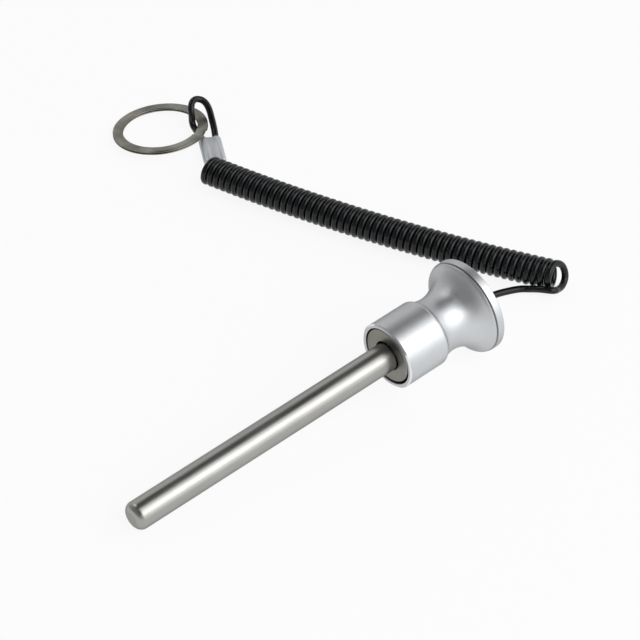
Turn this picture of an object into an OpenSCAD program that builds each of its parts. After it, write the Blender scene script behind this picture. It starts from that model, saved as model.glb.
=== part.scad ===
// Weight stack pin: a straight steel selector pin in a turned knob with a ring magnet,
// and a coiled cord that ends in a loop round a split ring.
// Millimetres, +Z up. The pin lies at rest on z = 0, on its tip and on the rim of its knob,
// with the tip towards -X. The origin is below the middle of the pin.

/* [Rod] */
// Diameter of the rod
rod_d = 10; // [8:0.5:12]
// Length of the rod in front of the knob
rod_reach = 109; // [60:1:160]
// Length of the rod that sits in the knob
rod_seat = 19; // [12:0.5:20]
// Radius that rounds the rod's tip
tip_round = 2.8; // [0.5:0.1:2.9]
// Bevel on the rod's end inside the knob
rod_bevel = 0.6; // [0.2:0.1:1.5]
// Amount by which the rod is thinner where it sits in the knob
seat_undersize = 1; // [0.6:0.1:1.4]
// Distance in front of the collar at which the thinner part starts
seat_start = 0.2; // [0.1:0.1:2]

/* [Knob] */
// Diameter of the collar at the front
collar_d = 24; // [23.4:0.2:28]
// Length of the collar's straight part
collar_len = 16; // [10:0.5:18]
// Bevel on the collar's front edge
collar_bevel = 0.5; // [0.2:0.1:0.8]
// Radius of the shoulder at the collar's back
shoulder_round = 2.2; // [1:0.1:3]
// Diameter of the knob at its waist
waist_d = 20.2; // [17:0.2:21]
// Distance of the waist from the collar's front face
waist_at = 22.8; // [21:0.2:25]
// Radius of the hollow that forms the waist
neck_round = 12.8; // [11:0.2:16]
// Diameter of the flange
flange_d = 34; // [31:0.2:40]
// Radius of the flange's rolled front lip
lip_round = 2.4; // [1.5:0.1:3]
// Width of the straight band round the flange
band_w = 2.4; // [1.2:0.1:4]
// Radius of the flange's two corners
edge_round = 0.35; // [0.1:0.05:0.5]

/* [Magnet] */
// Outer diameter of the ring magnet
magnet_d = 20; // [18:0.2:20.2]
// Gap between the rod and the magnet's hole
magnet_hole_gap = 0.4; // [0.35:0.05:1.5]
// Thickness of the magnet
magnet_t = 5; // [3:0.5:8]
// Bevel on the magnet's edges
magnet_bevel = 0.3; // [0.1:0.05:0.6]
// Gap round the magnet in its pocket
pocket_gap = 0.55; // [0.4:0.05:0.8]
// Depth of the magnet's face behind the collar's front face
magnet_recess = 0.3; // [0:0.1:1]
// Distance by which the magnet sits off the middle of its pocket
magnet_shift = 0.25; // [0:0.05:0.3]

/* [Cord] */
// Diameter of the cord
cord_d = 2.5; // [1.5:0.1:3]
// Outer diameter of the coil
coil_d = 11; // [8:0.5:16]
// Number of turns in the coil
coil_turns = 52.5; // [20:0.5:60]
// Space between neighbouring turns
turn_gap = 0.1; // [0:0.05:1]
// Radius of the bow in which the coil lies
coil_bow = 600; // [400:10:2000]
// Gap round the cord in the knob's back hole
cord_gap = 0.25; // [0.1:0.05:0.5]
// Diameter of the stop crimped on the cord inside the knob
stop_d = 5.4; // [4.4:0.2:6]
// Length of that stop
stop_len = 4.5; // [3:0.5:6]
// Gap round the stop in its cavity
stop_gap = 0.3; // [0.1:0.05:0.6]

/* [Ferrule] */
// Length of the ferrule that closes the cord's loop
ferrule_len = 15; // [8:0.5:16]
// Distance between the two strands of the cord in the ferrule
strand_gap = 2.1; // [1:0.1:2.5]
// Wall of each barrel
barrel_wall = 0.6; // [0.4:0.05:1]
// Depth of the grooves between the barrels
groove_depth = 0.4; // [0.2:0.05:0.8]
// Gap round the cord in a barrel
barrel_gap = 0.05; // [0.02:0.01:0.1]

/* [Ring] */
// Outer diameter of the split ring
ring_d = 35.4; // [33:0.1:37]
// Width of the ring's flat wire
ring_wire_w = 3.8; // [3:0.1:4]
// Thickness of the ring's flat wire
ring_wire_t = 0.7; // [0.5:0.05:1]
// Gap between the ring's two turns
ring_turn_gap = 0.05; // [0.02:0.01:0.2]
// Half of the angle over which the wire steps from one turn to the other
ring_step_angle = 9; // [8:1:20]
// Angle at which the ring leans
ring_lean = 6.6; // [5:0.1:9]

/* [Hidden] */
$fn = 96;
over = 1;

rod_r = rod_d / 2;
seat_r = rod_r - seat_undersize / 2;
collar_r = collar_d / 2;
waist_r = waist_d / 2;
flange_r = flange_d / 2;
cord_r = cord_d / 2;

// Along the pin's own axis the collar's front face is 0 and the tip is negative.
// The lip's circle touches the neck's circle from outside.
neck_centre_r = waist_r + neck_round;
lip_centre_r = flange_r - lip_round;
lip_at = waist_at + sqrt(pow(neck_round + lip_round, 2) - pow(neck_centre_r - lip_centre_r, 2));
knob_len = lip_at + band_w;

pocket_r = magnet_d / 2 + pocket_gap;
pocket_depth = magnet_recess + magnet_t;
rod_clearance = 0.02;
cavity_r = stop_d / 2 + stop_gap;
cavity_len = stop_len + 2 * stop_gap;
cord_hole_r = cord_r + cord_gap;
cord_hole_bevel = 0.8;
stop_at = rod_seat + cavity_len - stop_len;

// The pin lies on its rounded tip and on the front corner of the flange's band.
tip_centre = [-rod_reach + tip_round, rod_r - tip_round];
band_centre = [lip_at, flange_r - lip_round];
rest_span = band_centre - tip_centre;
pin_lean = atan2(rest_span.y, rest_span.x)
         + asin((lip_round - tip_round) / norm(rest_span));
front_z = band_centre.y * cos(pin_lean) + lip_round - band_centre.x * sin(pin_lean);
low_x = tip_centre.x * cos(pin_lean) - tip_centre.y * sin(pin_lean) - tip_round;
high_x = (knob_len - edge_round) * cos(pin_lean) + (flange_r - edge_round) * sin(pin_lean)
       + edge_round;
front_x = -(low_x + high_x) / 2;

// A point of the pin's axis in the part's own frame
function on_axis(t) = [front_x + t * cos(pin_lean), 0, front_z + t * sin(pin_lean)];
knob_back = on_axis(knob_len);

// The coil lies on the surface in a shallow bow, from beside the knob to beside the ring.
coil_r = coil_d / 2;
turn_r = coil_r - cord_r;
coil_start = [knob_back.x + 44, 2.9];
coil_heading = 118;
coil_len = coil_turns * (cord_d + turn_gap) + cord_d;
coil_arc = coil_len / coil_bow * 180 / PI;
bow_centre = coil_start + coil_bow * [sin(coil_heading), -cos(coil_heading)];
coil_end_heading = coil_heading - coil_arc;
coil_end = bow_centre - coil_bow * [sin(coil_end_heading), -cos(coil_end_heading)];

// The ferrule lies flat, and its two barrels are side by side.
ferrule_tip = coil_end + [15.7, 17.3];
ferrule_heading = 59;
barrel_pitch = cord_d + strand_gap;
barrel_r = cord_r + barrel_gap + barrel_wall;
web_t = 2 * (barrel_r - groove_depth);
ferrule_dir = [cos(ferrule_heading), sin(ferrule_heading)];
ferrule_side = [sin(ferrule_heading), -cos(ferrule_heading)];

// A point in a barrel: side is 1 or -1, and back is its distance from the ferrule's tip
function in_barrel(side, back) = let (
    p = ferrule_tip + side * barrel_pitch / 2 * ferrule_side - back * ferrule_dir
) [p.x, p.y, barrel_r];

// The ring leans on the cord's loop, with its low side on the surface.
ring_r = ring_d / 2;
ring_hole_r = ring_r - ring_wire_w;
ring_half_t = ring_wire_t + ring_turn_gap / 2;
ring_centre = ferrule_tip + [-9.8, 16.7];
ring_high_side = -78;
ring_z = ring_r * sin(ring_lean) + ring_half_t * cos(ring_lean);
ring_turned = 18;
step_half = ring_r * sin(ring_step_angle) + 0.1;
step_run = ring_hole_r * sin(ring_step_angle) - 0.1;

// Routes of the cord: places beside the knob's back and beside the ferrule's tip
function behind_knob(x, y, z) = [knob_back.x + x, y, z];
function past_ferrule(x, y, z) = [ferrule_tip.x + x, ferrule_tip.y + y, z];
lead_route = [
    on_axis(stop_at + 0.5),
    on_axis(stop_at + stop_len),
    on_axis(knob_len - 3),
    on_axis(knob_len + 1.5),
    behind_knob(3.7, 1.2, 15.6),
    behind_knob(4.6, 3, 12.5),
    behind_knob(6.2, 6, 7.8),
    behind_knob(9.9, 9.6, 3.8),
    behind_knob(15.4, 12.2, 1.7),
    behind_knob(20.4, 13, 1.5),
    behind_knob(25, 12.4, 1.5),
    behind_knob(29.7, 10.8, 1.5),
    behind_knob(33, 9.2, 1.5),
    behind_knob(35.5, 6.9, 1.6),
    behind_knob(36.6, 3.1, 3.1),
    behind_knob(38.3, 0.1, 3.5),
    behind_knob(39.9, -0.7, 3.1),
    behind_knob(42, -0.1, 2.1),
    behind_knob(44.7, 0.7, 1.6),
    behind_knob(47.1, 1.8, 2.2),
    behind_knob(48.3, 2.7, 3.7),
    behind_knob(48.4, 3.5, 5.8),
    behind_knob(47.4, 4, 7.9),
    behind_knob(45.4, 4.1, 9.4),
    behind_knob(43.4, 4, 9.7)
];
loop_route = [
    [coil_end.x + 3.6, coil_end.y - 0.1, 1.5],
    [coil_end.x + 7, coil_end.y + 0.9, 1.6],
    in_barrel(1, ferrule_len),
    in_barrel(1, ferrule_len / 2),
    in_barrel(1, 0),
    past_ferrule(4, 1.8, 2.4),
    past_ferrule(5.6, 4.5, 3.5),
    past_ferrule(7.1, 7.4, 4.9),
    past_ferrule(8.4, 10.2, 6.4),
    past_ferrule(8.9, 12.7, 7.8),
    past_ferrule(8.2, 14.6, 8.8),
    past_ferrule(6.3, 15.5, 9.4),
    past_ferrule(4.2, 14.9, 9.4),
    past_ferrule(2.7, 13.7, 8.7),
    past_ferrule(1.9, 12.7, 7.1),
    past_ferrule(1.7, 12.3, 5.3),
    past_ferrule(1.6, 12.1, 3.5),
    past_ferrule(1.3, 11.1, 2.1),
    past_ferrule(0.9, 9.4, 1.5),
    past_ferrule(0.2, 7.3, 1.5),
    past_ferrule(-0.8, 4.7, 1.5),
    in_barrel(-1, 0),
    in_barrel(-1, ferrule_len / 2),
    in_barrel(-1, ferrule_len)
];
cord_sides = 8;
lead_steps = 2;
loop_steps = 2;

// A smooth curve through the points of a route, with the given steps between neighbours
function curve(route, steps) = [
    for (i = [0 : len(route) - 2])
        let (
            b = route[i],
            c = route[i + 1],
            a = i == 0 ? 2 * b - c : route[i - 1],
            d = i == len(route) - 2 ? 2 * c - b : route[i + 2]
        )
        for (k = [0 : steps - 1])
            let (u = k / steps)
            (2 * b + u * (c - a) + u * u * (2 * a - 5 * b + 4 * c - d)
                + u * u * u * (3 * b - 3 * c + d - a)) / 2,
    route[len(route) - 1]
];

function unit(v) = v / norm(v);

// The direction of a path at its point i
function heading(path, i) = unit(path[min(i + 1, len(path) - 1)] - path[max(i - 1, 0)]);

// A tube of the cord's diameter swept along a path
module cord_tube(path) {
    count = len(path);
    points = [
        for (i = [0 : count - 1])
            let (
                t = heading(path, i),
                side = unit(cross(t, [0, 0, 1])),
                up = cross(side, t)
            )
            for (j = [0 : cord_sides - 1])
                let (a = 360 * j / cord_sides)
                path[i] + cord_r * (cos(a) * side + sin(a) * up)
    ];
    walls = [
        for (i = [0 : count - 2])
            for (j = [0 : cord_sides - 1])
                let (k = (j + 1) % cord_sides, n = i * cord_sides)
                [n + j, n + k, n + cord_sides + k, n + cord_sides + j]
    ];
    start_cap = [[for (j = [cord_sides - 1 : -1 : 0]) j]];
    end_cap = [[for (j = [0 : cord_sides - 1]) (count - 1) * cord_sides + j]];
    polyhedron(points = points, faces = concat(walls, start_cap, end_cap), convexity = 6);
}

// Lays a piece that is modelled upright round Z, tip down, on the surface
module laid() {
    translate([front_x, 0, front_z]) rotate([0, 90 - pin_lean, 0]) children();
}

// Outline of half the rod: radius to the right, along the axis upwards
module rod_outline() {
    difference() {
        union() {
            translate([0, -rod_reach]) square([rod_r, rod_reach - seat_start]);
            translate([0, -seat_start - over]) square([seat_r, rod_seat + seat_start + over]);
        }
        tip_corner();
        translate([seat_r, rod_seat]) rotate(45) square(rod_bevel * sqrt(2), center = true);
    }
}

// What the rounding takes off the rod's tip
module tip_corner() {
    difference() {
        translate([tip_centre.y, -rod_reach - over]) square([tip_round + over, tip_round + over]);
        translate([tip_centre.y, tip_centre.x]) circle(tip_round);
    }
}

module pin_rod() {
    color("#a8a49c") laid() rotate_extrude() rod_outline();
}

// Outline of half the knob's outside, solid to the axis
module knob_outline() {
    difference() {
        union() {
            square([collar_r, collar_len]);
            translate([0, collar_len]) square([collar_r - shoulder_round, waist_at - collar_len]);
            intersection() {
                translate([collar_r - shoulder_round, collar_len]) circle(shoulder_round);
                translate([0, collar_len]) square([collar_r, shoulder_round]);
            }
            translate([0, collar_len]) square([waist_r + over, waist_at - collar_len]);
            translate([0, waist_at]) square([lip_centre_r, knob_len - waist_at]);
            intersection() {
                translate([lip_centre_r, lip_at]) circle(lip_round);
                square([flange_r, lip_at]);
            }
            translate([0, lip_at]) square([flange_r, band_w]);
        }
        translate([neck_centre_r, waist_at]) circle(neck_round);
        translate([collar_r, 0]) rotate(45) square(collar_bevel * sqrt(2), center = true);
        back_corner();
    }
}

// What the rounding takes off the flange's back corner
module back_corner() {
    corner = [flange_r - edge_round, knob_len - edge_round];
    difference() {
        translate(corner) square(edge_round + over);
        translate(corner) circle(edge_round);
    }
}

// Outline of half the room inside the knob: magnet pocket, rod seat, stop cavity, cord hole
module knob_bore() {
    translate([0, -over]) square([pocket_r, pocket_depth + over]);
    square([seat_r + rod_clearance, rod_seat]);
    square([cavity_r, rod_seat + cavity_len]);
    square([cord_hole_r, knob_len + over]);
    translate([cord_hole_r, knob_len]) rotate(45) square(cord_hole_bevel * sqrt(2), center = true);
}

module knob() {
    color("#c4c7ca") laid() rotate_extrude() difference() {
        knob_outline();
        knob_bore();
    }
}

// Outline of a ring with bevelled corners, from its inner to its outer radius
module bevelled_section(inner, outer, thick, bevel) {
    polygon([
        [inner, bevel], [inner + bevel, 0], [outer - bevel, 0], [outer, bevel],
        [outer, thick - bevel], [outer - bevel, thick], [inner + bevel, thick],
        [inner, thick - bevel]
    ]);
}

module ring_magnet() {
    color("#77746c") laid() translate([0, magnet_shift, magnet_recess]) rotate_extrude()
        bevelled_section(rod_r + magnet_hole_gap, magnet_d / 2, magnet_t, magnet_bevel);
}

// The stop sits against the back of its cavity and grips the cord's end.
module cord_stop() {
    color("#b9bcbf") laid() translate([0, 0, stop_at]) difference() {
        cylinder(r = stop_d / 2, h = stop_len);
        translate([0, 0, -over]) cylinder(r = cord_r + barrel_gap, h = stop_len + 2 * over);
    }
}

module cord_lead() {
    color("#17191b") cord_tube(curve(lead_route, lead_steps));
}

module cord_coil() {
    color("#17191b") translate([bow_centre.x, bow_centre.y, coil_r])
        rotate([0, 0, coil_end_heading + 90])
        rotate_extrude(angle = coil_arc, $fn = 720) translate([coil_bow, 0]) circle(coil_r, $fn = 48);
}

module cord_loop() {
    color("#17191b") cord_tube(curve(loop_route, loop_steps));
}

// Section of the ferrule: two barrels joined by a web, with a hole in each
module ferrule_section() {
    difference() {
        union() {
            square([barrel_pitch, web_t], center = true);
            for (side = [-1, 1]) translate([side * barrel_pitch / 2, 0]) circle(barrel_r);
        }
        for (side = [-1, 1]) translate([side * barrel_pitch / 2, 0]) circle(cord_r + barrel_gap);
    }
}

module crimp_ferrule() {
    color("#b4b7ba") translate([ferrule_tip.x, ferrule_tip.y, barrel_r])
        rotate([90, 0, ferrule_heading - 90]) linear_extrude(ferrule_len) ferrule_section();
}

// What is cut away above the stretch in which the wire steps up from one turn to the other
module step_cut() {
    rotate([90, 0, 90]) linear_extrude(ring_r + over) polygon([
        [-step_half, -ring_turn_gap / 2], [-step_run, -ring_turn_gap / 2],
        [step_run, ring_half_t], [step_run, ring_half_t + over],
        [-step_half, ring_half_t + over]
    ]);
}

// The ring lies flat here: a tube with the gap between its turns and the two cuts at the step.
module flat_ring() {
    difference() {
        cylinder(r = ring_r, h = 2 * ring_half_t, center = true);
        cylinder(r = ring_hole_r, h = 2 * ring_half_t + over, center = true);
        rotate([0, 0, ring_step_angle]) rotate_extrude(angle = 360 - 2 * ring_step_angle)
            translate([ring_hole_r - over, -ring_turn_gap / 2])
            square([ring_wire_w + 2 * over, ring_turn_gap]);
        step_cut();
        rotate([180, 0, 0]) step_cut();
    }
}

module split_ring() {
    color("#7f7b72") translate([ring_centre.x, ring_centre.y, ring_z])
        rotate([0, 0, ring_high_side]) rotate([0, -ring_lean, 0]) rotate([0, 0, ring_turned])
        flat_ring();
}

pin_rod();
knob();
ring_magnet();
cord_stop();
cord_lead();
cord_coil();
cord_loop();
crimp_ferrule();
split_ring();
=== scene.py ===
import math

import bpy
from bpy.props import FloatProperty, FloatVectorProperty, IntProperty, PointerProperty
from mathutils import Matrix, Vector


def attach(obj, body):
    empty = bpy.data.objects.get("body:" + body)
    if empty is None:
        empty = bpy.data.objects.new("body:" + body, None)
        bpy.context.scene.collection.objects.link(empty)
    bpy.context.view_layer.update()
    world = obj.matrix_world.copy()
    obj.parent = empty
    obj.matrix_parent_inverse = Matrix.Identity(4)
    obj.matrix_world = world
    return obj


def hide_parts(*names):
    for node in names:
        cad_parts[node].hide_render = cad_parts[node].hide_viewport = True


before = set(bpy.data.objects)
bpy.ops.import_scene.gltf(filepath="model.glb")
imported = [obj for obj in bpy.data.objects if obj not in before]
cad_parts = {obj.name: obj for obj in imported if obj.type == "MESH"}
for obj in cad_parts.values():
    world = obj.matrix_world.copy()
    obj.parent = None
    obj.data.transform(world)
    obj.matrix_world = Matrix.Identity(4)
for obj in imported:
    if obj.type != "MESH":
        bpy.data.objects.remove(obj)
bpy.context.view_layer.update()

bl_info = {
    "name": "Weight Stack Pin",
    "version": (1, 0, 0),
    "blender": (4, 5, 0),
    "location": "View3D > Sidebar > Stack Pin",
    "description": "Builds a weight stack pin with a magnet knob, a coiled cord and a split ring",
    "category": "Object",
}

MM = 0.001
WELD = 0.002 * MM
PIN_BODY = "pin"
RING_BODY = "ring"


# Sizes and colours

def size(name, about, value, low=0.0, high=1.0):
    """A length in metres, given in millimetres."""
    return FloatProperty(name=name, description=about, default=value * MM,
                         min=low, max=high, precision=5, unit="LENGTH")


def angle(name, about, degrees):
    return FloatProperty(name=name, description=about, default=math.radians(degrees),
                         unit="ROTATION")


def spot(name, about, x, y):
    """A place on the floor, given in millimetres from the place that its description names."""
    return FloatVectorProperty(name=name, description=about, default=(x * MM, y * MM), size=2,
                               subtype="XYZ", unit="LENGTH")


def tint(name, about, value):
    return FloatVectorProperty(name=name, description=about, default=value, size=3,
                               subtype="COLOR", min=0.0, max=1.0)


class PinSizes(bpy.types.PropertyGroup):
    """The rod, the knob and the magnet, which share one axis."""

    rod_d: size("Rod diameter", "Diameter of the rod", 10)
    rod_reach: size("Rod reach", "Length of the rod in front of the knob", 109)
    rod_seat: size("Rod seat", "Length of the rod inside the knob", 19)
    tip_round: size("Tip rounding", "Radius that rounds the rod's tip", 2.8)
    seat_undersize: size("Seat undersize", "How much thinner the rod is in the knob", 1)
    seat_start: size("Seat start", "Where the thinner part starts, in front of the collar", 0.2)
    seat_bevel: size("Seat bevel", "Bevel on the rod's end in the knob", 0.6)
    seat_gap: size("Seat gap", "Gap round the rod in the knob's seat", 0.02)
    collar_d: size("Collar diameter", "Diameter of the knob's collar", 24)
    collar_len: size("Collar length", "Length of the collar's straight part", 16)
    collar_bevel: size("Collar bevel", "Bevel on the collar's front edge", 0.5)
    shoulder_round: size("Shoulder rounding", "Radius of the shoulder behind the collar", 2.2)
    waist_d: size("Waist diameter", "Diameter of the knob at its waist", 20.2)
    waist_at: size("Waist place", "Distance of the waist from the collar's face", 22.8)
    neck_round: size("Neck radius", "Radius of the hollow that forms the waist", 12.8)
    flange_d: size("Flange diameter", "Diameter of the flange", 34)
    lip_round: size("Lip rounding", "Radius of the flange's front lip", 2.4)
    band_w: size("Band width", "Width of the straight band round the flange", 2.4)
    edge_round: size("Edge rounding", "Radius of the flange's back edge", 0.35)
    line_at: angle("Line place", "Where the fine turned line lies on the lip's rounding", 17)
    line_half: angle("Line half width", "Half of the angle that the turned line takes", 8)
    line_depth: size("Line depth", "Depth of the turned line", 0.3)
    magnet_d: size("Magnet diameter", "Outer diameter of the ring magnet", 20)
    magnet_gap: size("Magnet hole gap", "Gap between the rod and the magnet's hole", 0.4)
    magnet_t: size("Magnet thickness", "Thickness of the magnet", 5)
    magnet_round: size("Magnet edge", "Rounding of the magnet's outer front edge", 0.55)
    magnet_fine: size("Magnet fine edge", "Rounding of the magnet's other edges", 0.2)
    magnet_recess: size("Magnet recess", "Depth of the magnet's face in the collar", 0.3)
    magnet_shift: size("Magnet shift", "Distance of the magnet from the pocket's middle", 0.25)
    pocket_gap: size("Pocket gap", "Gap round the magnet in its pocket", 0.55)
    pocket_bevel: size("Pocket bevel", "Bevel on the pocket's front edge", 0.18)
    stop_d: size("Stop diameter", "Diameter of the cord's stop", 5.4)
    stop_len: size("Stop length", "Length of the cord's stop", 4.5)
    stop_gap: size("Stop gap", "Gap round the stop in its cavity", 0.3)
    cord_gap: size("Cord gap", "Gap round the cord in the knob's back hole", 0.25)
    hole_bevel: size("Hole bevel", "Bevel on the edge of the knob's back hole", 0.8)
    steel: tint("Rod steel", "Colour of the rod", (0.395, 0.393, 0.377))
    aluminium: tint("Knob aluminium", "Colour of the knob", (0.62, 0.635, 0.65))
    plating: tint("Magnet plating", "Colour of the magnet", (0.285, 0.275, 0.252))


class CordSizes(bpy.types.PropertyGroup):
    """The coiled cord and the sleeve that closes its loop."""

    cord_d: size("Cord diameter", "Diameter of the cord", 2.5)
    coil_d: size("Coil diameter", "Outer diameter of the coil", 11)
    coil_turns: FloatProperty(name="Coil turns", description="Number of turns in the coil",
                              default=52.5, min=5, max=80)
    turn_gap: size("Turn gap", "Space between neighbouring turns", 0.1)
    coil_start: spot("Coil start", "Start of the coil, from the knob's back", 44, 2.9)
    coil_bow: size("Coil bow", "Radius of the bow in which the coil lies", 600, high=3.0)
    coil_heading: angle("Coil heading", "Direction of the coil at the knob's end", 118)
    end_opening: size("End opening", "How far the coil's first turn stands open", 1.15)
    coil_points: IntProperty(name="Points per turn", description="Points of the line per turn",
                             default=32, min=12, max=64)
    ferrule_place: spot("Sleeve place", "Tip of the sleeve, from the coil's end", 15.7, 17.3)
    ferrule_len: size("Sleeve length", "Length of the crimp sleeve", 15)
    ferrule_round: size("Sleeve edges", "Rounding of the sleeve's edges", 0.18)
    strand_gap: size("Strand gap", "Distance between the two strands in the sleeve", 2.1)
    barrel_wall: size("Barrel wall", "Wall of each barrel of the sleeve", 0.6)
    barrel_gap: size("Barrel gap", "Gap round the cord in a barrel", 0.05)
    groove_depth: size("Groove depth", "Depth of the grooves between the barrels", 0.4)
    ferrule_heading: angle("Sleeve heading", "Direction in which the sleeve lies", 59)
    plastic: tint("Cord plastic", "Colour of the cord", (0.0035, 0.0045, 0.0055))
    sleeve: tint("Sleeve metal", "Colour of the crimp sleeve", (0.66, 0.68, 0.71))


class RingSizes(bpy.types.PropertyGroup):
    """The split ring on the cord's loop."""

    ring_d: size("Ring diameter", "Outer diameter of the split ring", 35.4)
    wire_w: size("Wire width", "Width of the ring's flat wire", 3.8)
    wire_t: size("Wire thickness", "Thickness of the ring's flat wire", 0.7)
    turn_gap: size("Turn gap", "Gap between the ring's two turns", 0.05)
    step: angle("Step angle", "Half of the angle over which the wire steps", 9)
    centre: spot("Ring place", "Middle of the ring, from the sleeve's tip", -9.8, 16.7)
    lean: angle("Lean", "Angle at which the ring leans on the loop", 6.6)
    high_side: angle("High side", "Direction of the ring's high side", -78)
    turned: angle("Turned", "How far the step is turned from the high side", 18)
    steel: tint("Ring steel", "Colour of the ring", (0.265, 0.257, 0.228))


class StageLook(bpy.types.PropertyGroup):
    """The floor, the light and the camera."""

    floor: tint("Floor", "Colour of the floor", (0.9, 0.9, 0.9))
    camera_turn: angle("Camera turn", "Direction from which the camera looks", -41.085)
    camera_rise: angle("Camera rise", "Height of the camera as an angle", 37.765)
    camera_far: FloatProperty(name="Camera distance", description="Distance of the camera",
                              default=1.15, min=0.2, max=5.0, unit="LENGTH")
    lens: FloatProperty(name="Lens", description="Focal length of the camera, in millimetres",
                        default=188.27, min=20.0, max=400.0)
    aim: FloatVectorProperty(name="Aim", description="Point at which the camera looks", size=3,
                             default=(0.043006, 0.043072, 0.0), subtype="TRANSLATION")


def pin_sizes():
    return bpy.context.scene.stack_pin


def cord_sizes():
    return bpy.context.scene.stack_pin_cord


def ring_sizes():
    return bpy.context.scene.stack_pin_ring


# Places that several pieces share

def lip_place():
    """Where the flange's lip begins: along the pin's axis, and the neck's centre radius."""
    s = pin_sizes()
    neck_r = s.waist_d / 2 + s.neck_round
    lip_r = s.flange_d / 2 - s.lip_round
    at = s.waist_at + math.sqrt((s.neck_round + s.lip_round) ** 2 - (neck_r - lip_r) ** 2)
    return at, neck_r, lip_r


def knob_length():
    return lip_place()[0] + pin_sizes().band_w


def pin_lay():
    """The matrix that lays what is modelled upright, tip down, on the floor."""
    s = pin_sizes()
    lip_at, _, lip_r = lip_place()
    tip = Vector((s.tip_round - s.rod_reach, s.rod_d / 2 - s.tip_round))
    band = Vector((lip_at, lip_r))
    span = band - tip
    lean = math.atan2(span.y, span.x) + math.asin((s.lip_round - s.tip_round) / span.length)
    rise = band.y * math.cos(lean) + s.lip_round - band.x * math.sin(lean)
    low = tip.x * math.cos(lean) - tip.y * math.sin(lean) - s.tip_round
    high = ((knob_length() - s.edge_round) * math.cos(lean)
            + (s.flange_d / 2 - s.edge_round) * math.sin(lean) + s.edge_round)
    return (Matrix.Translation((-(low + high) / 2, 0, rise))
            @ Matrix.Rotation(math.pi / 2 - lean, 4, "Y"))


def on_axis(along):
    """A point of the pin's axis; along is measured from the collar's front face."""
    return pin_lay() @ Vector((0, 0, along))


def coil_place(along):
    """Centre of the coil and its heading, at a length along it."""
    c = cord_sizes()
    turn = c.coil_heading - along / c.coil_bow
    start = Vector((on_axis(knob_length()).x + c.coil_start[0], c.coil_start[1], 0))
    middle = start + c.coil_bow * Vector((math.sin(c.coil_heading), -math.cos(c.coil_heading), 0))
    place = middle - c.coil_bow * Vector((math.sin(turn), -math.cos(turn), 0))
    return place + Vector((0, 0, c.coil_d / 2)), turn


def coil_length():
    c = cord_sizes()
    return c.coil_turns * (c.cord_d + c.turn_gap) + c.cord_d


def ferrule_tip():
    end, _ = coil_place(coil_length())
    place = cord_sizes().ferrule_place
    return Vector((end.x + place[0], end.y + place[1], 0))


def ferrule_ways():
    """The directions along the sleeve, towards its tip, and across it."""
    heading = cord_sizes().ferrule_heading
    along = Vector((math.cos(heading), math.sin(heading), 0))
    return along, Vector((along.y, -along.x, 0))


def barrel_radius():
    c = cord_sizes()
    return c.cord_d / 2 + c.barrel_gap + c.barrel_wall


def barrel_offset():
    """The distance of each barrel from the sleeve's middle."""
    c = cord_sizes()
    return (c.cord_d + c.strand_gap) / 2


def in_barrel(side, back):
    """A point in a barrel of the sleeve: side is 1 or -1, back is the distance from its tip."""
    along, across = ferrule_ways()
    up = Vector((0, 0, barrel_radius()))
    return ferrule_tip() + side * barrel_offset() * across - back * along + up


def ring_lay():
    """The matrix that lays the flat ring on the cord's loop."""
    r = ring_sizes()
    half = r.wire_t + r.turn_gap / 2
    centre = ferrule_tip() + Vector((*r.centre, 0))
    centre.z = r.ring_d / 2 * math.sin(r.lean) + half * math.cos(r.lean)
    return (Matrix.Translation(centre) @ Matrix.Rotation(r.high_side, 4, "Z")
            @ Matrix.Rotation(-r.lean, 4, "Y") @ Matrix.Rotation(r.turned, 4, "Z"))


# Modelling by hand

def clear_selection():
    if bpy.context.mode != "OBJECT":
        bpy.ops.object.mode_set(mode="OBJECT")
    bpy.ops.object.select_all(action="DESELECT")


def arc(cx, cy, radius, start, end, count):
    """Points of an arc in the outline's plane, with angles in degrees."""
    return [
        (cx + radius * math.cos(math.radians(start + (end - start) * i / count)),
         cy + radius * math.sin(math.radians(start + (end - start) * i / count)))
        for i in range(count + 1)
    ]


def bearing(centre, point):
    """The direction from a centre to a point in the outline's plane, in degrees."""
    return math.degrees(math.atan2(point.y - centre.y, point.x - centre.x))


def beside(origin, places):
    """Points that are typed in millimetres from an origin on the floor."""
    return [Vector((origin.x + x * MM, origin.y + y * MM, z * MM)) for x, y, z in places]


def chain(points):
    """In edit mode: one vertex, extruded from point to point."""
    bpy.ops.mesh.primitive_plane_add(size=MM)
    bpy.ops.object.mode_set(mode="EDIT")
    bpy.ops.mesh.select_mode(type="VERT")
    bpy.ops.mesh.merge(type="CENTER")
    bpy.ops.transform.translate(value=points[0])
    here = Vector(points[0])
    for point in points[1:]:
        step = Vector(point) - here
        bpy.ops.mesh.extrude_vertices_move(TRANSFORM_OT_translate={"value": step})
        here = Vector(point)


def weld():
    """In edit mode: selects all and merges what lies in one place."""
    bpy.ops.mesh.select_all(action="SELECT")
    bpy.ops.mesh.remove_doubles(threshold=WELD)


def closed_piece(name):
    """Leaves edit mode with the mesh merged, its faces turned outwards and the piece named."""
    weld()
    bpy.ops.mesh.normals_make_consistent(inside=False)
    bpy.ops.object.mode_set(mode="OBJECT")
    piece = bpy.context.object
    piece.name = name
    piece.data.name = name
    return piece


def turned_piece(name, outline, steps=192):
    """Spins an outline of (radius, along) points round Z into a closed piece."""
    clear_selection()
    chain([(r, 0, z) for r, z in outline])
    bpy.ops.mesh.select_all(action="SELECT")
    bpy.ops.mesh.spin(steps=steps, angle=math.tau, center=(0, 0, 0), axis=(0, 0, 1))
    return closed_piece(name)


def off_axis(point):
    """The distance of a point from Z."""
    return Vector(point[:2]).length


def pick(piece):
    """Makes a piece the only one that is selected, and the active one."""
    clear_selection()
    bpy.context.view_layer.objects.active = piece
    piece.select_set(True)


def settle(piece, place):
    """Puts a finished piece in its place and applies the place to its mesh."""
    pick(piece)
    piece.matrix_world = place
    bpy.ops.object.transform_apply(location=True, rotation=True, scale=True)


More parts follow.
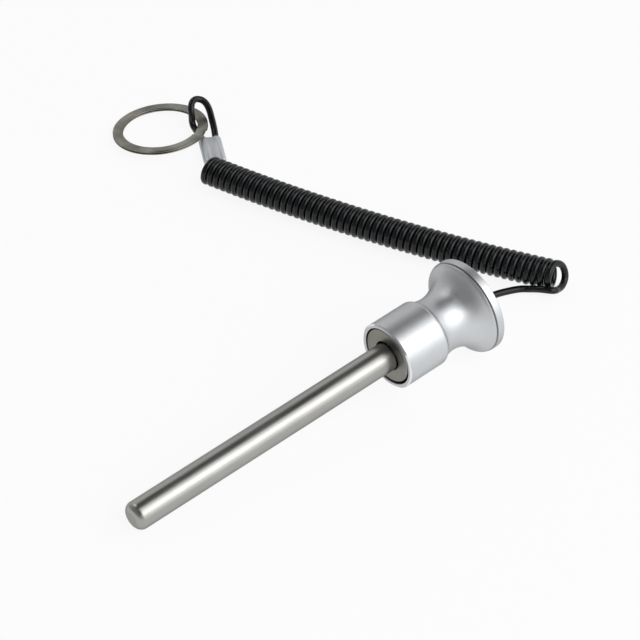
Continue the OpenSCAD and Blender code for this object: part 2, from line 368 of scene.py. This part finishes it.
def smooth(piece, degrees=32):
    pick(piece)
    bpy.ops.object.shade_smooth_by_angle(angle=math.radians(degrees))


def hand_in(piece, body, slot, *nodes):
    """Rides a piece on its body in place of its CAD nodes."""
    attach(piece, body)
    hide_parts(*nodes)


# Materials

def combined(nodes, links, operation, first, second):
    """Two values joined by a maths operation; the second may be a plain number."""
    node = nodes.new("ShaderNodeMath")
    node.operation = operation
    links.new(first, node.inputs[0])
    if isinstance(second, float):
        node.inputs[1].default_value = second
    else:
        links.new(second, node.inputs[1])
    return node.outputs[0]


def on_vector(nodes, links, operation, vector, value=None):
    """A vector operation on one vector, with a fixed second value where it needs one."""
    node = nodes.new("ShaderNodeVectorMath")
    node.operation = operation
    links.new(vector, node.inputs[0])
    if value is not None:
        node.inputs[1].default_value = value
    return node


def new_material(name):
    material = bpy.data.materials.new(name)
    material.use_nodes = True
    nodes = material.node_tree.nodes
    return material, nodes, material.node_tree.links, nodes["Principled BSDF"]


def object_place(nodes, links, place):
    """Object coordinates seen from a piece's own place, so that its axis is Z."""
    coords = nodes.new("ShaderNodeTexCoord")
    mapping = nodes.new("ShaderNodeMapping")
    mapping.vector_type = "TEXTURE"
    mapping.inputs["Location"].default_value = place.to_translation()
    mapping.inputs["Rotation"].default_value = place.to_euler()
    links.new(coords.outputs["Object"], mapping.inputs["Vector"])
    return mapping.outputs["Vector"]


def noise(nodes, links, vector, scale, detail=3.0, rough=0.5):
    texture = nodes.new("ShaderNodeTexNoise")
    texture.inputs["Scale"].default_value = scale
    texture.inputs["Detail"].default_value = detail
    texture.inputs["Roughness"].default_value = rough
    links.new(vector, texture.inputs["Vector"])
    return texture.outputs["Fac"]


def stretch(nodes, links, vector, factors):
    mapping = nodes.new("ShaderNodeMapping")
    mapping.inputs["Scale"].default_value = factors
    links.new(vector, mapping.inputs["Vector"])
    return mapping.outputs["Vector"]


def spread(nodes, links, value, low, high, start=0.3, end=0.7, kind="LINEAR"):
    """Maps a value between start and end to a number between low and high."""
    ranged = nodes.new("ShaderNodeMapRange")
    ranged.interpolation_type = kind
    ranged.inputs["From Min"].default_value = start
    ranged.inputs["From Max"].default_value = end
    ranged.inputs["To Min"].default_value = low
    ranged.inputs["To Max"].default_value = high
    links.new(value, ranged.inputs["Value"])
    return ranged.outputs["Result"]


def two_tones(nodes, links, factor, low, high, start=0.3, end=0.7):
    ramp = nodes.new("ShaderNodeValToRGB")
    ramp.color_ramp.elements[0].position = start
    ramp.color_ramp.elements[0].color = (*low, 1)
    ramp.color_ramp.elements[1].position = end
    ramp.color_ramp.elements[1].color = (*high, 1)
    links.new(factor, ramp.inputs["Fac"])
    return ramp.outputs["Color"]


def bump(nodes, links, height, shader, strength, distance):
    node = nodes.new("ShaderNodeBump")
    node.inputs["Strength"].default_value = strength
    node.inputs["Distance"].default_value = distance
    links.new(height, node.inputs["Height"])
    links.new(node.outputs["Normal"], shader.inputs["Normal"])


def toned(colour, factor):
    return tuple(min(1.0, channel * factor) for channel in colour)


def from_axis(nodes, links, vector):
    """The place as distance from the piece's own axis, with its X and Y behind it."""
    parts = nodes.new("ShaderNodeSeparateXYZ")
    links.new(vector, parts.inputs[0])
    flat = nodes.new("ShaderNodeCombineXYZ")
    links.new(parts.outputs["X"], flat.inputs["X"])
    links.new(parts.outputs["Y"], flat.inputs["Y"])
    far = on_vector(nodes, links, "LENGTH", flat.outputs[0])
    joined = nodes.new("ShaderNodeCombineXYZ")
    links.new(far.outputs["Value"], joined.inputs["X"])
    links.new(parts.outputs["X"], joined.inputs["Y"])
    links.new(parts.outputs["Y"], joined.inputs["Z"])
    return joined.outputs[0]


def metal(name, colour, place, roughness, grain=0.03, lines=(90.0, 90.0, 2600.0), relief=0.12,
          edge=0.45, uneven=0.05, rings=False):
    """A turned or drawn metal: fine lines along or round its own axis, and a little unevenness."""
    material, nodes, links, shader = new_material(name)
    vector = object_place(nodes, links, place)
    lined = from_axis(nodes, links, vector) if rings else vector
    fine = noise(nodes, links, stretch(nodes, links, lined, lines), 1.0, 2.0)
    broad = noise(nodes, links, vector, 110.0, 4.0)
    shader.inputs["Metallic"].default_value = 1.0
    shader.inputs["Specular Tint"].default_value = (edge, edge, edge, 1)
    links.new(two_tones(nodes, links, broad, toned(colour, 1 - uneven), toned(colour, 1 + uneven)),
              shader.inputs["Base Color"])
    links.new(spread(nodes, links, fine, roughness - grain, roughness + grain),
              shader.inputs["Roughness"])
    bump(nodes, links, fine, shader, relief, 0.02 * MM)
    return material


# Operators

class STACKPIN_OT_rod(bpy.types.Operator):
    """Turns the rod with its rounded tip"""

    bl_idname = "stackpin.rod"
    bl_label = "Rod"

    def execute(self, context):
        s = pin_sizes()
        r = s.rod_d / 2
        seat_r = r - s.seat_undersize / 2
        reach = s.rod_reach
        outline = [(0, -reach)]
        outline += [((r - s.tip_round) * i / 4, -reach) for i in range(1, 4)]
        outline += arc(r - s.tip_round, s.tip_round - reach, s.tip_round, -90, 0, 14)
        outline += [(r, s.tip_round - reach + (reach - s.tip_round - s.seat_start) * i / 12)
                    for i in range(1, 13)]
        outline += [(seat_r, -s.seat_start), (seat_r, s.rod_seat - s.seat_bevel),
                    (seat_r - s.seat_bevel, s.rod_seat), (0, s.rod_seat)]
        piece = turned_piece("rod", outline, 160)
        settle(piece, pin_lay())
        smooth(piece)
        piece.data.materials.append(
            metal("rod satin steel", s.steel, pin_lay(), roughness=0.3, grain=0.04,
                  lines=(700.0, 700.0, 60.0), relief=0.02))
        hand_in(piece, PIN_BODY, "rod_steel", "pin_rod")
        return {"FINISHED"}


class STACKPIN_OT_knob(bpy.types.Operator):
    """Turns the knob with its magnet pocket, neck, flange and bore"""

    bl_idname = "stackpin.knob"
    bl_label = "Knob"

    fine_lines = (12.0, 12.0, 1300.0)

    def outline(self, s):
        """Half of the knob: from the pocket round the outside and back through the bore."""
        pocket_r = s.magnet_d / 2 + s.pocket_gap
        pocket_t = s.magnet_recess + s.magnet_t
        points = [(pocket_r, pocket_t), (pocket_r, s.pocket_bevel), (pocket_r + s.pocket_bevel, 0)]
        points += self.collar_and_neck(s) + self.flange(s) + self.bore(s, pocket_t)
        return points + points[:1]

    def collar_and_neck(self, s):
        lip_at, neck_r, lip_r = lip_place()
        collar_r = s.collar_d / 2
        shoulder = Vector((collar_r - s.shoulder_round, s.collar_len))
        neck = Vector((neck_r, s.waist_at))
        # The shoulder's arc ends where it meets the neck's circle.
        apart = neck - shoulder
        near = ((s.shoulder_round ** 2 - s.neck_round ** 2 + apart.length_squared)
                / (2 * apart.length))
        off = math.sqrt(s.shoulder_round ** 2 - near ** 2)
        way = apart.normalized()
        meet = shoulder + way * near + Vector((-way.y, way.x)) * off
        points = [(collar_r - s.collar_bevel, 0), (collar_r, s.collar_bevel)]
        points += [(collar_r, s.collar_bevel + (s.collar_len - s.collar_bevel) * i / 6)
                   for i in range(1, 6)]
        points += arc(shoulder.x, shoulder.y, s.shoulder_round, 0, bearing(shoulder, meet), 10)
        points += arc(neck.x, neck.y, s.neck_round, bearing(neck, meet) % 360,
                      bearing(neck, Vector((lip_r, lip_at))), 36)[1:]
        return points

    def flange(self, s):
        """The lip with its fine turned line, the band and the rounded back edge."""
        lip_at, neck_r, lip_r = lip_place()
        lip = Vector((lip_r, lip_at))
        start = bearing(Vector((neck_r, s.waist_at)), lip) - 180
        line_r = s.lip_round - s.line_depth
        edge_r = s.flange_d / 2 - s.edge_round
        points = arc(lip.x, lip.y, s.lip_round, start,
                     -math.degrees(s.line_at + s.line_half), 10)[1:]
        points += [(lip.x + line_r * math.cos(s.line_at), lip.y - line_r * math.sin(s.line_at))]
        points += arc(lip.x, lip.y, s.lip_round, -math.degrees(s.line_at - s.line_half), 0, 8)
        points += [(s.flange_d / 2, lip_at + (s.band_w - s.edge_round) / 2)]
        points += arc(edge_r, knob_length() - s.edge_round, s.edge_round, 0, 90, 6)
        return points

    def bore(self, s, pocket_t):
        """The cord's hole, the stop's cavity and the rod's seat, from the back to the pocket."""
        length = knob_length()
        hole_r = cord_sizes().cord_d / 2 + s.cord_gap
        cavity_r = s.stop_d / 2 + s.stop_gap
        cavity_end = s.rod_seat + s.stop_len + 2 * s.stop_gap
        seat_r = (s.rod_d - s.seat_undersize) / 2 + s.seat_gap
        return [
            (hole_r + s.hole_bevel, length), (hole_r, length - s.hole_bevel),
            (hole_r, cavity_end), (cavity_r, cavity_end), (cavity_r, s.rod_seat),
            (seat_r, s.rod_seat), (seat_r, pocket_t),
        ]

    def on_bevel(self, s, face):
        """Whether a face of the upright knob belongs to the collar's front bevel."""
        return (face.center.z < s.collar_bevel and abs(face.normal.z) > 0.3
                and off_axis(face.center) > s.collar_d / 2 - s.collar_bevel)

    def in_line(self, s, face):
        """Whether a face of the upright knob lies in the turned line on the lip."""
        lip_at, _, lip_r = lip_place()
        out, up = off_axis(face.center) - lip_r, face.center.z - lip_at
        return (-s.lip_round / 2 < up < 0 < out
                and math.hypot(out, up) < s.lip_round - s.line_depth / 4)

    def execute(self, context):
        s = pin_sizes()
        piece = turned_piece("knob_body", self.outline(s))
        faces = piece.data.polygons
        polished_with_painted_highlight = [face.index for face in faces if self.on_bevel(s, face)]
        # Faces in the turned line, which get painted shade.
        lined = [face.index for face in faces if self.in_line(s, face)]
        settle(piece, pin_lay())
        smooth(piece)
        for material in (
                metal("knob satin anodising", s.aluminium, pin_lay(), roughness=0.42,
                      lines=self.fine_lines, relief=0.04),
                # The bevel's copy is polished, with lower roughness, and is also painted 1.3 times
                # lighter: a painted highlight along the collar's front edge.
                metal("knob polished bevel", toned(s.aluminium, 1.3), pin_lay(), roughness=0.12,
                      grain=0.02, lines=self.fine_lines, relief=0.02),
                # The line's copy is painted 0.45 times darker: painted shade in the turned line's
                # recess.
                metal("knob turned line painted shade", toned(s.aluminium, 0.45), pin_lay(), roughness=0.45,
                      lines=self.fine_lines, relief=0.04)):
            piece.data.materials.append(material)
        for slot, indices in ((1, polished_with_painted_highlight), (2, lined)):
            for index in indices:
                piece.data.polygons[index].material_index = slot
        hand_in(piece, PIN_BODY, "knob_aluminium", "knob")
        return {"FINISHED"}


class STACKPIN_OT_magnet(bpy.types.Operator):
    """Turns the ring magnet with its rounded edges"""

    bl_idname = "stackpin.magnet"
    bl_label = "Magnet"

    def execute(self, context):
        s = pin_sizes()
        inner = s.rod_d / 2 + s.magnet_gap
        outer = s.magnet_d / 2
        edge = s.magnet_round
        fine = s.magnet_fine
        points = arc(inner + fine, fine, fine, 180, 270, 3)
        points += arc(outer - edge, edge, edge, -90, 0, 8)
        points += arc(outer - fine, s.magnet_t - fine, fine, 0, 90, 3)
        points += arc(inner + fine, s.magnet_t - fine, fine, 90, 180, 3)
        piece = turned_piece("magnet_ring", points + points[:1])
        place = pin_lay() @ Matrix.Translation((0, s.magnet_shift, s.magnet_recess))
        settle(piece, place)
        smooth(piece)
        piece.data.materials.append(
            metal("magnet dull plating", s.plating, place, roughness=0.38, grain=0.05,
                  lines=(700.0, 700.0, 700.0), relief=0.2))
        hand_in(piece, PIN_BODY, "magnet_plating", "ring_magnet")
        return {"FINISHED"}


class STACKPIN_OT_cord(bpy.types.Operator):
    """Lays the cord from the knob through its coil and round the loop"""

    bl_idname = "stackpin.cord"
    bl_label = "Cord"

    # The coil's first turns stand open, each less than the last, and most on this side,
    # whose angle is measured from their lowest point.
    open_side = math.radians(35)
    open_fade = 0.1
    open_power = 1.5

    def lead(self):
        s = pin_sizes()
        length = knob_length()
        stop_at = s.rod_seat + 2 * s.stop_gap
        inside = [on_axis(stop_at + 0.5 * MM), on_axis(stop_at + s.stop_len),
                  on_axis(length - 3 * MM), on_axis(length + 1.5 * MM)]
        return inside + beside(Vector((on_axis(length).x, 0, 0)), [
            (3.7, 1.2, 15.6), (4.6, 3, 12.5), (6.2, 6, 7.8), (9.9, 9.6, 3.8), (15.4, 12.2, 1.7),
            (20.4, 13, 1.5), (25, 12.4, 1.5), (29.7, 10.8, 1.5), (33, 9.2, 1.5),
            (35.5, 6.9, 1.6), (36.6, 3.1, 3.1), (38.3, 0.1, 3.5), (39.9, -0.7, 3.1),
            (42, -0.1, 2.1), (44.7, 0.7, 1.6), (47.1, 1.8, 2.2), (48.3, 2.7, 3.7),
            (48.4, 3.5, 5.8), (47.4, 4, 7.9), (45.4, 4.1, 9.4),
        ])

    def coil(self):
        c = cord_sizes()
        count = round(c.coil_turns * c.coil_points)
        radius = (c.coil_d - c.cord_d) / 2
        points = []
        for i in range(count + 1):
            middle, heading = coil_place(
                c.cord_d / 2 + (coil_length() - c.cord_d) * i / count)
            turn = math.pi + math.tau * c.coil_turns * i / count
            across = Vector((math.sin(heading), -math.cos(heading), 0))
            along = Vector((math.cos(heading), math.sin(heading), 0))
            share = 0.5 + 0.5 * math.cos(turn - self.open_side)
            opened = (c.end_opening * math.exp(self.open_fade * (math.tau - turn))
                      * share ** self.open_power)
            points.append(middle - opened * along
                          + radius * (math.sin(turn) * across
                                      - math.cos(turn) * Vector((0, 0, 1))))
        return points

    def loop(self):
        c = cord_sizes()
        end, _ = coil_place(coil_length())
        points = beside(end, [(3.6, -0.1, 1.5), (7, 0.9, 1.6)])
        points += [in_barrel(1, c.ferrule_len * f) for f in (1, 0.5, 0)]
        points += beside(ferrule_tip(), [
            (4, 1.8, 2.4), (5.6, 4.5, 3.5), (7.1, 7.4, 4.9), (8.4, 10.2, 6.4), (8.9, 12.7, 7.8),
            (8.2, 14.6, 8.8), (6.3, 15.5, 9.4), (4.2, 14.9, 9.4), (2.7, 13.7, 8.7),
            (1.9, 12.7, 7.1), (1.7, 12.3, 5.3), (1.6, 12.1, 3.5), (1.3, 11.1, 2.1),
            (0.9, 9.4, 1.5), (0.2, 7.3, 1.5), (-0.8, 4.7, 1.5),
        ])
        return points + [in_barrel(-1, c.ferrule_len * f) for f in (0, 0.5, 1)]

    def rounded(self, before, route, after, steps=8):
        """A smooth curve through a route, led in and out by its neighbours' points."""
        line = [before] + route + [after]
        points = []
        for a, b, c, d in zip(line, line[1:], line[2:], line[3:]):
            for k in range(steps):
                u = k / steps
                points.append((2 * b + u * (c - a) + u * u * (2 * a - 5 * b + 4 * c - d)
                               + u ** 3 * (3 * b - 3 * c + d - a)) / 2)
        return points

    def execute(self, context):
        c = cord_sizes()
        coil = self.coil()
        lead = self.lead()
        loop = self.loop()
        # A point an eighth of a turn inside the coil leads the curve into and out of it.
        near = c.coil_points // 8
        line = self.rounded(2 * lead[0] - lead[1], lead + coil[:1], coil[near])
        line += coil
        line += self.rounded(coil[-1 - near], coil[-1:] + loop,
                             2 * loop[-1] - loop[-2])[1:] + loop[-1:]
        data = bpy.data.curves.new("cord", "CURVE")
        data.dimensions = "3D"
        data.bevel_depth = c.cord_d / 2
        data.bevel_resolution = 6
        data.use_fill_caps = True
        spline = data.splines.new("POLY")
        spline.points.add(len(line) - 1)
        for point, place in zip(spline.points, line):
            point.co = (*place, 1)
        spline.use_smooth = True
        piece = bpy.data.objects.new("cord", data)
        context.scene.collection.objects.link(piece)
        data.materials.append(self.material(c))
        hand_in(piece, PIN_BODY, "cord_plastic", "cord_lead", "cord_coil", "cord_loop")
        return {"FINISHED"}

    def material(self, c):
        material, nodes, links, shader = new_material("cord glossy plastic")
        coords = nodes.new("ShaderNodeTexCoord").outputs["Object"]
        broad = noise(nodes, links, coords, 260.0, 3.0)
        fine = noise(nodes, links, coords, 2600.0, 2.0)
        links.new(two_tones(nodes, links, broad, toned(c.plastic, 0.7), toned(c.plastic, 1.4)),
                  shader.inputs["Base Color"])
        links.new(spread(nodes, links, broad, 0.14, 0.24), shader.inputs["Roughness"])
        shader.inputs["Specular IOR Level"].default_value = 0.32
        bump(nodes, links, fine, shader, 0.08, 0.03 * MM)
        return material


class STACKPIN_OT_sleeve(bpy.types.Operator):
    """Extrudes the two-barrelled crimp sleeve"""

    bl_idname = "stackpin.sleeve"
    bl_label = "Crimp Sleeve"

    def execute(self, context):
        c = cord_sizes()
        radius = barrel_radius()
        half = barrel_offset()
        web = radius - c.groove_depth
        foot = math.degrees(math.asin(web / radius))
        outline = arc(half, 0, radius, -180 + foot, 180 - foot, 36)
        outline += arc(-half, 0, radius, foot, 360 - foot, 36)
        clear_selection()
        chain([(x, y, 0) for x, y in outline + outline[:1]])
        for side in (-1, 1):
            bpy.ops.mesh.primitive_circle_add(vertices=40, radius=c.cord_d / 2 + c.barrel_gap,
                                              location=(side * half, 0, 0))
        weld()
        bpy.ops.mesh.fill(use_beauty=True)
        bpy.ops.mesh.select_all(action="SELECT")
        bpy.ops.mesh.extrude_region_move(
            TRANSFORM_OT_translate={"value": (0, 0, c.ferrule_len)})
        piece = closed_piece("sleeve")
        soft = piece.modifiers.new("soft edges", "BEVEL")
        soft.width = c.ferrule_round
        soft.segments = 3
        soft.limit_method = "ANGLE"
        soft.angle_limit = math.radians(50)
        bpy.ops.object.modifier_apply(modifier=soft.name)
        along, across = ferrule_ways()
        tip = ferrule_tip()
        # Its own Z runs from the tip back along the sleeve, and its X from barrel to barrel.
        turn = Matrix((across, Vector((0, 0, 1)), -along)).transposed().to_4x4()
        place = Matrix.Translation((tip.x, tip.y, radius)) @ turn
        settle(piece, place)
        smooth(piece, 40)
        piece.data.materials.append(
            metal("sleeve soft aluminium", c.sleeve, place, roughness=0.5, grain=0.05,
                  lines=(900.0, 900.0, 70.0), relief=0.15))
        hand_in(piece, PIN_BODY, "sleeve_aluminium", "crimp_ferrule")
        return {"FINISHED"}


class STACKPIN_OT_ring(bpy.types.Operator):
    """Winds the split ring from flat wire, two turns with the step between them"""

    bl_idname = "stackpin.ring"
    bl_label = "Split Ring"

    section_points = 28
    section_power = 0.62
    turn_steps = 168
    rise_steps = 12

    def execute(self, context):
        r = ring_sizes()
        layer = (r.wire_t + r.turn_gap) / 2
        clear_selection()
        chain(self.section(r, layer))
        weld()
        bpy.ops.mesh.edge_face_add()
        bpy.ops.transform.rotate(value=-r.step, orient_axis="Z", center_override=(0, 0, 0))
        turns = math.tau - 2 * r.step
        self.wind(turns)
        steps = self.rise_steps
        for i in range(steps):
            rise = (self.eased((i + 1) / steps) - self.eased(i / steps)) * 2 * layer
            bpy.ops.mesh.extrude_region_move(TRANSFORM_OT_translate={"value": (0, 0, rise)})
            self.turn_on(2 * r.step / steps)
        self.wind(turns)
        piece = closed_piece("ring")
        settle(piece, ring_lay())
        smooth(piece, 50)
        piece.data.materials.append(
            metal("ring spring steel", r.steel, ring_lay(), roughness=0.32, grain=0.1,
                  lines=(2600.0, 60.0, 60.0), relief=0.3, edge=0.7, uneven=0.42, rings=True))
        hand_in(piece, RING_BODY, "ring_steel", "split_ring")
        return {"FINISHED"}

    def section(self, r, layer):
        """The wire's section where the lower turn begins."""
        middle = (r.ring_d - r.wire_w) / 2
        points = []
        for i in range(self.section_points + 1):
            turn = math.tau * i / self.section_points
            points.append((middle + r.wire_w / 2 * self.squared(math.cos(turn)), 0,
                           self.squared(math.sin(turn)) * r.wire_t / 2 - layer))
        return points

    def squared(self, value):
        """Bends a cosine or sine so that the wire's section is a rounded rectangle."""
        return math.copysign(abs(value) ** self.section_power, value)

    def eased(self, u):
        return u * u * (3 - 2 * u)

    def wind(self, turns):
        for _ in range(self.turn_steps):
            bpy.ops.mesh.extrude_region_move(TRANSFORM_OT_translate={"value": (0, 0, 0)})
            self.turn_on(turns / self.turn_steps)

    def turn_on(self, by):
        """Turns the selected end of the wire on round the ring's axis."""
        bpy.ops.transform.rotate(value=-by, orient_axis="Z", center_override=(0, 0, 0))


class STACKPIN_OT_stop(bpy.types.Operator):
    """Finishes the cord's stop inside the knob"""

    bl_idname = "stackpin.stop"
    bl_label = "Cord Stop"

    def execute(self, context):
        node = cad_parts["cord_stop"]
        material = metal("stop aluminium", cord_sizes().sleeve, pin_lay(), roughness=0.4)
        if not node.material_slots:
            node.data.materials.append(material)
        for entry in node.material_slots:
            entry.material = material
        return {"FINISHED"}


class STACKPIN_OT_stage(bpy.types.Operator):
    """Sets the floor, the light and the camera"""

    bl_idname = "stackpin.stage"
    bl_label = "Floor, Light and Camera"

    def execute(self, context):
        look = context.scene.stack_pin_stage
        self.floor(look)
        self.sky(context)
        self.lamp("key light", place=(0.22, -0.72, 0.62), aim=(0.03, 0.05, 0.0),
                  width=1.0, height=0.5, power=2.3)
        self.camera(context, look)
        context.scene.view_settings.view_transform = "Standard"
        return {"FINISHED"}

    def floor(self, look):
        clear_selection()
        bpy.ops.mesh.primitive_plane_add(size=6, location=(0, 0, 0))
        floor = bpy.context.object
        floor.name = "floor"
        material, nodes, links, shader = new_material("pale floor")
        shader.inputs["Base Color"].default_value = (*look.floor, 1)
        shader.inputs["Roughness"].default_value = 0.9
        white = nodes.new("ShaderNodeEmission")
        white.inputs["Color"].default_value = (1, 1, 1, 1)
        ray = nodes.new("ShaderNodeLightPath")
        seen = ray.outputs["Is Camera Ray"]
        for kind in ("Is Glossy Ray", "Is Transmission Ray"):
            seen = combined(nodes, links, "MAXIMUM", seen, ray.outputs[kind])
        mix = nodes.new("ShaderNodeMixShader")
        links.new(combined(nodes, links, "MULTIPLY", seen, 0.9), mix.inputs["Fac"])
        links.new(shader.outputs[0], mix.inputs[1])
        links.new(white.outputs[0], mix.inputs[2])
        links.new(mix.outputs[0], nodes["Material Output"].inputs["Surface"])
        floor.data.materials.append(material)

    def sky(self, context):
        """A pale room, brighter round the key light and darker on its left side.

        A dark strip is overhead, a small window is high behind the pin, and a dark patch is
        above the camera.
        """
        world = bpy.data.worlds.new("studio")
        context.scene.world = world
        world.use_nodes = True
        nodes = world.node_tree.nodes
        links = world.node_tree.links
        nodes.clear()
        way = nodes.new("ShaderNodeTexCoord").outputs["Generated"]
        side = nodes.new("ShaderNodeSeparateXYZ")
        links.new(way, side.inputs[0])
        pale = spread(nodes, links, side.outputs["X"], low=0.28, high=0.8,
                      start=-0.9, end=0.3, kind="SMOOTHSTEP")
        glow = self.patch(nodes, links, way, aim=(0.27, -0.72, 0.64), start=0.45, end=1.0,
                          low=0.0, high=0.9)
        squeezed = on_vector(nodes, links, "MULTIPLY", way, (0.5, 1, 1))
        unit = on_vector(nodes, links, "NORMALIZE", squeezed.outputs[0])
        strip = self.patch(nodes, links, unit.outputs[0], aim=(0.05, 0.23, 0.97),
                           start=0.84, end=0.965, low=1.0, high=0.05)
        front = self.patch(nodes, links, way, aim=(-0.5, -0.5, 0.7), start=0.89, end=0.98,
                           low=1.0, high=0.0)
        window = self.patch(nodes, links, way, aim=(-0.12, 0.56, 0.82), start=0.975, end=0.99,
                            low=0.0, high=1.8)
        strength = combined(nodes, links, "ADD", pale, glow)
        strength = combined(nodes, links, "MULTIPLY", strength, strip)
        strength = combined(nodes, links, "MULTIPLY", strength, front)
        strength = combined(nodes, links, "ADD", strength, window)
        room = nodes.new("ShaderNodeBackground")
        room.inputs["Color"].default_value = (1, 1, 1, 1)
        links.new(strength, room.inputs["Strength"])
        output = nodes.new("ShaderNodeOutputWorld")
        links.new(room.outputs[0], output.inputs["Surface"])

    def patch(self, nodes, links, way, aim, start, end, low, high):
        """A round patch of the room, whose brightness is low away from its aim and high at it.

        Start and end are the cosines of the angles from the aim between which it changes.
        """
        dot = on_vector(nodes, links, "DOT_PRODUCT", way, Vector(aim).normalized())
        return spread(nodes, links, dot.outputs["Value"], low, high, start, end, "SMOOTHSTEP")

    def lamp(self, name, place, aim, width, height, power):
        data = bpy.data.lights.new(name, "AREA")
        data.shape = "RECTANGLE"
        data.energy = power
        data.size = width
        data.size_y = height
        lamp = bpy.data.objects.new(name, data)
        bpy.context.scene.collection.objects.link(lamp)
        lamp.location = place
        lamp.rotation_euler = (Vector(aim) - lamp.location).to_track_quat("-Z", "Y").to_euler()

    def camera(self, context, look):
        data = bpy.data.cameras.new("camera")
        data.sensor_width = 36
        data.lens = look.lens
        data.clip_start = 0.01
        camera = bpy.data.objects.new("camera", data)
        context.scene.collection.objects.link(camera)
        turn, rise = look.camera_turn, look.camera_rise
        back = Vector((math.sin(turn) * math.cos(rise), -math.cos(turn) * math.cos(rise),
                       math.sin(rise)))
        camera.location = Vector(look.aim) + look.camera_far * back
        camera.rotation_euler = (math.pi / 2 - rise, 0, turn)
        context.scene.camera = camera


class STACKPIN_PT_panel(bpy.types.Panel):
    """Sizes and pieces of the weight stack pin"""

    bl_label = "Weight Stack Pin"
    bl_idname = "STACKPIN_PT_panel"
    bl_space_type = "VIEW_3D"
    bl_region_type = "UI"
    bl_category = "Stack Pin"

    def draw(self, context):
        layout = self.layout
        for operator in OPERATORS:
            layout.operator(operator.bl_idname)
        for name in GROUPS:
            group = getattr(context.scene, name)
            box = layout.box()
            for field in group.bl_rna.properties:
                if field.identifier not in ("rna_type", "name"):
                    box.prop(group, field.identifier)


OPERATORS = (
    STACKPIN_OT_stage, STACKPIN_OT_rod, STACKPIN_OT_knob, STACKPIN_OT_magnet,
    STACKPIN_OT_stop, STACKPIN_OT_sleeve, STACKPIN_OT_ring, STACKPIN_OT_cord,
)
GROUPS = {
    "stack_pin": PinSizes,
    "stack_pin_cord": CordSizes,
    "stack_pin_ring": RingSizes,
    "stack_pin_stage": StageLook,
}
CLASSES = (*GROUPS.values(), *OPERATORS, STACKPIN_PT_panel)


def register():
    for kind in CLASSES:
        bpy.utils.register_class(kind)
    for name, group in GROUPS.items():
        setattr(bpy.types.Scene, name, PointerProperty(type=group))


def unregister():
    for name in GROUPS:
        delattr(bpy.types.Scene, name)
    for kind in reversed(CLASSES):
        bpy.utils.unregister_class(kind)


def main():
    register()
    bpy.ops.stackpin.stage()
    bpy.ops.stackpin.rod()
    bpy.ops.stackpin.knob()
    bpy.ops.stackpin.magnet()
    bpy.ops.stackpin.stop()
    bpy.ops.stackpin.sleeve()
    bpy.ops.stackpin.ring()
    bpy.ops.stackpin.cord()


if __name__ == "__main__":
    main()
